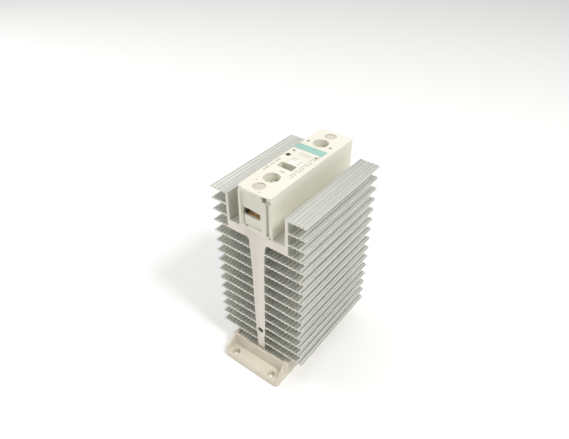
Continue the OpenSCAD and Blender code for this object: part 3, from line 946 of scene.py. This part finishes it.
def entryLip(spec):
    # thin lip under the wire entry's upper edge, deeper toward the right
    near = caseLow.y + spec["bulge"] + 1.3
    right, top = spec["entryX"][1] + 0.2, spec["entryZ"][1] + 0.1
    outline = [(-5.2, top), (-4.6, top - 0.5), (0.4, top - 1.25), (right, top - 1.35), (right, top)]
    return prismSolid(outline, "Y", near, near + 1.1)


def makeHousing(spec):
    case = caseShell(spec)
    weld(case, innerFittings(spec))
    carve(case, bothEnds(endCuts(spec)) + topCuts(spec))
    weld(case, bothEnds([entryLip(spec)]))
    soften(case, spec["edge"])
    finishPiece(case, "relayHousing", "base", "case_plastic", ["relay_housing"])
    print("housing:", len(case.data.polygons), "faces")


makeHousing(caseSpec)


# ---- small parts on the top ----

def makeInlays(spec):
    top = caseHigh.z
    band = blockSolid((caseLow.x, spec["bandY"][0] + 0.04, top - spec["bandDepth"]),
                      (spec["bandRight"] - 0.04, spec["bandY"][1] - 0.04, top))
    finishPiece(soften(band, 0.1), "tealBand", "base", "band_teal", ["colour_band"])
    tag = blockSolid((spec["tagX"][0] + 0.05, spec["tagY"][0] + 0.05, top - spec["tagDepth"]),
                     (spec["tagX"][1] - 0.05, spec["tagY"][1] - 0.05, top))
    finishPiece(soften(tag, 0.2), "labelTag", "base", "tag_white", ["label_tag"])
    radius = spec["markerRadius"] - 0.15
    plug = discSolid(radius, top - spec["markerDepth"], top - 0.5,
                     (spec["axisX"], midY - spec["markerOff"], 0))
    carve(plug, [discSolid(radius - 0.8, top - 0.75, top, (spec["axisX"], midY - spec["markerOff"], 0))])
    soften(plug, 0.15)
    plugs = weld(plug, [mirrored(plug, midY)])
    finishPiece(plugs, "markerPlugs", "base", "marker_plastic", ["marker_plugs"])
    lens = discSolid(spec["lensRadius"] - 0.05, 124.6, top - 0.5, (*spec["lens"], 0))
    dome = discSolid(spec["lensRadius"] - 0.05, top - 0.5, top - 0.15, (*spec["lens"], 0), topRadius=0.9)
    weld(lens, [dome])
    finishPiece(soften(lens, 0.12, angle=20), "statusLens", "base", "lens_dark", ["light_guide"])


makeInlays(caseSpec)


# ---- terminal screws and clamps ----

terminalSpec = {
    "headRadius": 4.2,
    "headHeight": 2.6,
    "slotWidth": 1.1,
    "slotLength": 6.2,
    "slotDepth": 1.5,
    "threadPitch": 0.8,
    "cageWall": 1.4,
    "threadRadius": 2.45,
}


def screwProfile(low, neck, high, radius, spec):
    # half section: pointed tip, thread, rounded head
    points = [(0, low), (radius - 0.9, low), (radius - 0.1, low + 0.7)]
    z = low + 0.9
    while z < neck - 0.9:
        points += [(radius - 0.35, z), (radius, z + spec["threadPitch"] / 2)]
        z += spec["threadPitch"]
    head = spec["headRadius"]
    points += [(radius - 0.3, neck), (head - 0.3, neck), (head, neck + 0.3), (head, high - 0.5)]
    points += [(head - 0.5 + 0.5 * math.sin(a), high - 0.5 + 0.5 * math.cos(a))
               for a in (1.2, 0.8, 0.4, 0.0)]
    return points + [(0, high)]


def latheSolid(points, centre, sides=56):
    bm = bmesh.new()
    rings = []
    for r, z in points:
        if r < 1e-6:
            rings.append([bm.verts.new((centre[0], centre[1], z))])
            continue
        rings.append([bm.verts.new((centre[0] + r * math.cos(math.tau * i / sides),
                                    centre[1] + r * math.sin(math.tau * i / sides), z))
                      for i in range(sides)])
    for lower, upper in zip(rings, rings[1:]):
        for i in range(sides):
            j = (i + 1) % sides
            corners = [lower[i % len(lower)], lower[j % len(lower)], upper[j % len(upper)],
                       upper[i % len(upper)]]
            bm.faces.new(list(dict.fromkeys(corners)))
    return objectFrom(bm, "lathe")


def makeTerminalScrew(node, body, name, spec):
    low, high = cornersOf(node)
    x, y = (low.x + high.x) / 2, (low.y + high.y) / 2
    neck = high.z - spec["headHeight"]
    screw = latheSolid(screwProfile(low.z, neck, high.z, spec["threadRadius"], spec), (x, y))
    cuts = []
    for angle in (45, 135):
        slot = blockSolid((-spec["slotLength"] / 2, -spec["slotWidth"] / 2, high.z - spec["slotDepth"]),
                          (spec["slotLength"] / 2, spec["slotWidth"] / 2, high.z + 1))
        slot.data.transform(Matrix.Translation((x, y, 0)) @ Matrix.Rotation(math.radians(angle), 4, "Z"))
        cuts.append(slot)
    carve(screw, cuts)
    soften(screw, 0.08, angle=40)
    finishPiece(screw, name, body, "zinc_steel", [node])


def makeClamp(node, body, name, spec):
    low, high = cornersOf(node)
    wall = spec["cageWall"]
    x, y = (low.x + high.x) / 2, (low.y + high.y) / 2
    cage = blockSolid(low, high)
    window = blockSolid((low.x + wall, low.y - 1, low.z + wall), (high.x - wall, high.y + 1, high.z - 2))
    ribs = [discSolid(0.28, low.x + wall, high.x - wall, (0, y + 1.5 * i, low.z + wall), axis="X", sides=12)
            for i in (-2, -1, 0, 1, 2)]
    carve(cage, [window, discSolid(2.5, high.z - 3, high.z + 1, (x, y, 0)), *ribs])
    soften(cage, 0.22)
    finishPiece(cage, name, body, "passivated_clamp", [node])


def makeWireGuides():
    # bent brass strip that leads the wire from the case wall to the clamp
    guides = []
    near = caseLow.y + caseSpec["bulge"] + 2.0
    clampLow, clampHigh = cornersOf("line_clamp")
    low, high = caseSpec["entryZ"]
    left, right = caseSpec["entryX"][0] + 2.4, caseSpec["entryX"][1] - 0.4
    strip = [(near, low - 0.6), (clampLow.y - 0.4, low - 0.6), (clampLow.y - 0.4, low + 0.4),
             (near + 4.5, low + 0.4), (near + 3.2, low + 1.5), (near + 2.2, low + 1.5), (near, low - 0.1)]
    guide = prismSolid(strip, "X", left, right)
    carve(guide, [discSolid(0.5, left - 1, right + 1, (0, near + 1.2 + 2 * i, low + 0.6), axis="X", sides=16)
                  for i in (2, 3, 4)])
    soften(guide, 0.12)
    finishPiece(weld(guide, [mirrored(guide, midY)]), "wireGuides", "base", "passivated_clamp")


for end in ("line", "load"):
    makeTerminalScrew(end + "_screw", end + "_screw", end + "TerminalScrew", terminalSpec)
    makeClamp(end + "_clamp", end + "_clamp", end + "ClampCage", terminalSpec)
makeWireGuides()
print("terminals ready")


# ---- control plug ----

plugSpec = {"step": 1.6, "stepX": -5.3, "pinX": (-4.0, 0.6), "portRadius": 1.0, "funnel": 1.5}


def makeControlPlug(spec):
    low, high = cornersOf("control_plug")
    midPin = (low.y + high.y) / 2
    plug = blockSolid(low, high)
    deck = high.z - spec["step"]
    cuts = [blockSolid((spec["stepX"], low.y - 1, deck), (high.x + 1, high.y + 1, high.z + 1))]
    for x in spec["pinX"]:
        cuts.append(blockSolid((x - 0.8, midPin - 0.8, low.z - 1), (x + 0.8, midPin + 0.8, low.z + 5)))
        cuts.append(discSolid(spec["portRadius"], low.z + 4, high.z + 1, (x, midPin, 0), sides=32))
        cuts.append(discSolid(spec["portRadius"], deck - 0.6, deck + 0.05, (x, midPin, 0),
                              topRadius=spec["funnel"], sides=32))
    carve(plug, cuts)
    soften(plug, 0.15)
    finishPiece(plug, "controlPlug", "control_plug", "plug_plastic", ["control_plug"])


makeControlPlug(plugSpec)


# ---- rail latch and its springs ----

latchSpec = {"grips": 4, "gripPitch": 1.3, "gripRadius": 0.35, "edge": 0.25}
springSpec = {"turns": 9.0, "radius": 1.05, "wire": 0.25, "x": 3.4, "z": 5.0, "travel": 5.0}


def makeLatch(spec):
    node = frame["nodes"]["rail_latch"]
    bm = bmesh.new()
    bm.from_mesh(node.data)
    bmesh.ops.transform(bm, matrix=Matrix.Scale(1 / mm, 4), verts=bm.verts)
    bmesh.ops.remove_doubles(bm, verts=bm.verts, dist=1e-3)
    bmesh.ops.dissolve_limit(bm, angle_limit=0.001, verts=bm.verts, edges=bm.edges)
    latch = objectFrom(bm, "latch")
    low, high = cornersOf("rail_latch")
    grooves = [discSolid(spec["gripRadius"], -5.5, 5.5, (0, high.y - 7.4 - spec["gripPitch"] * i, 3.45),
                         axis="X", sides=16)
               for i in range(spec["grips"])]
    carve(latch, grooves)
    soften(latch, spec["edge"])
    finishPiece(latch, "railLatch", "rail_latch", "latch_plastic", ["rail_latch"])


def springTree():
    tree, given, put = geometryTree("coil spring", [
        ("Turns", "NodeSocketFloat"), ("Radius", "NodeSocketFloat"), ("Length", "NodeSocketFloat"),
        ("Wire", "NodeSocketFloat"), ("Place", "NodeSocketVector"), ("Material", "NodeSocketMaterial")])
    value = given.outputs
    coil = addNode(tree, "GeometryNodeCurveSpiral", {
        "Resolution": 20, "Rotations": value["Turns"], "Start Radius": value["Radius"],
        "End Radius": value["Radius"], "Height": value["Length"]})
    round_ = addNode(tree, "GeometryNodeCurvePrimitiveCircle", {"Resolution": 10, "Radius": value["Wire"]})
    wire = addNode(tree, "GeometryNodeCurveToMesh", {"Curve": coil.outputs[0],
                                                     "Profile Curve": round_.outputs[0],
                                                     "Fill Caps": True})
    turned = addNode(tree, "GeometryNodeTransform", {"Geometry": wire.outputs[0],
                                                     "Rotation": (-math.pi / 2, 0, 0)})
    spots = addNode(tree, "GeometryNodeMeshLine", {"Count": 2})
    away = addNode(tree, "ShaderNodeSeparateXYZ", {"Vector": value["Place"]})
    twice = figure(tree, "MULTIPLY", away.outputs["X"], -2.0)
    tree.links.new(value["Place"], spots.inputs["Start Location"])
    across = addNode(tree, "ShaderNodeCombineXYZ", {"X": twice})
    tree.links.new(across.outputs[0], spots.inputs["Offset"])
    pair = addNode(tree, "GeometryNodeInstanceOnPoints", {"Points": spots.outputs[0],
                                                          "Instance": turned.outputs[0]})
    real = addNode(tree, "GeometryNodeRealizeInstances", {"Geometry": pair.outputs[0]})
    done = addNode(tree, "GeometryNodeSetMaterial", {"Geometry": real.outputs[0],
                                                     "Material": value["Material"]})
    tree.links.new(done.outputs[0], put.inputs[0])
    return tree


def makeSprings(spec):
    low, high = cornersOf("latch_spring")
    length = high.y - low.y - 2 * spec["wire"]
    springs = bpy.data.objects.new("latchSprings", bpy.data.meshes.new("latchSprings"))
    bpy.context.scene.collection.objects.link(springs)
    runTree(springs, springTree(), {
        "Turns": spec["turns"], "Radius": spec["radius"] * mm, "Length": length * mm,
        "Wire": spec["wire"] * mm, "Place": (spec["x"] * mm, (low.y + spec["wire"]) * mm, spec["z"] * mm),
        "Material": finishes["spring_steel"]})
    bake(springs)
    springs.data.polygons.foreach_set("use_smooth", [True] * len(springs.data.polygons))
    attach(springs, "base")
    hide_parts("latch_spring")
    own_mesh(springs)


makeLatch(latchSpec)
makeSprings(springSpec)
print("latch ready")


# ---- printed marks, plain bars only ----

markSpec = {
    "thickness": 0.05,
    "rows": [
        {"start": (-10.0, -18.2), "step": 1.12, "count": 14, "size": (1.5, 0.62), "skip": (5, 9)},
        {"start": (5.7, -14.5), "step": 1.5, "count": 16, "size": (0.8, 0.9), "skip": (5, 11)},
        {"start": (7.4, -16.5), "step": 1.5, "count": 20, "size": (0.8, 0.9), "skip": (4, 9, 14)},
        {"start": (-2.8, 0.2), "step": 1.5, "count": 2, "size": (3.4, 0.3), "skip": ()},
        {"start": (2.6, -3.2), "step": 1.7, "count": 3, "size": (1.8, 0.4), "skip": ()},
        {"start": (-0.4, 6.6), "step": 2.2, "count": 2, "size": (8.6, 0.35), "skip": ()},
        {"start": (2.6, -37.2), "step": 1.0, "count": 1, "size": (1.2, 0.6), "skip": ()},
        {"start": (-6.6, -28.6), "step": 1.0, "count": 1, "size": (1.0, 0.6), "skip": ()},
    ],
}


def makeMarks(spec):
    top = caseHigh.z
    bm = bmesh.new()
    for row in spec["rows"]:
        for i in range(row["count"]):
            if i in row["skip"]:
                continue
            x = row["start"][0]
            y = row["start"][1] + row["step"] * i
            made = bmesh.ops.create_cube(bm, size=1)
            scale = Matrix.Diagonal((*row["size"], spec["thickness"], 1))
            bmesh.ops.transform(bm, matrix=Matrix.Translation((x, y, top)) @ scale, verts=made["verts"])
    marks = objectFrom(bm, "printedMarks")
    finishPiece(marks, "printedMarks", "base", "print_grey")


makeMarks(markSpec)
print("marks ready")
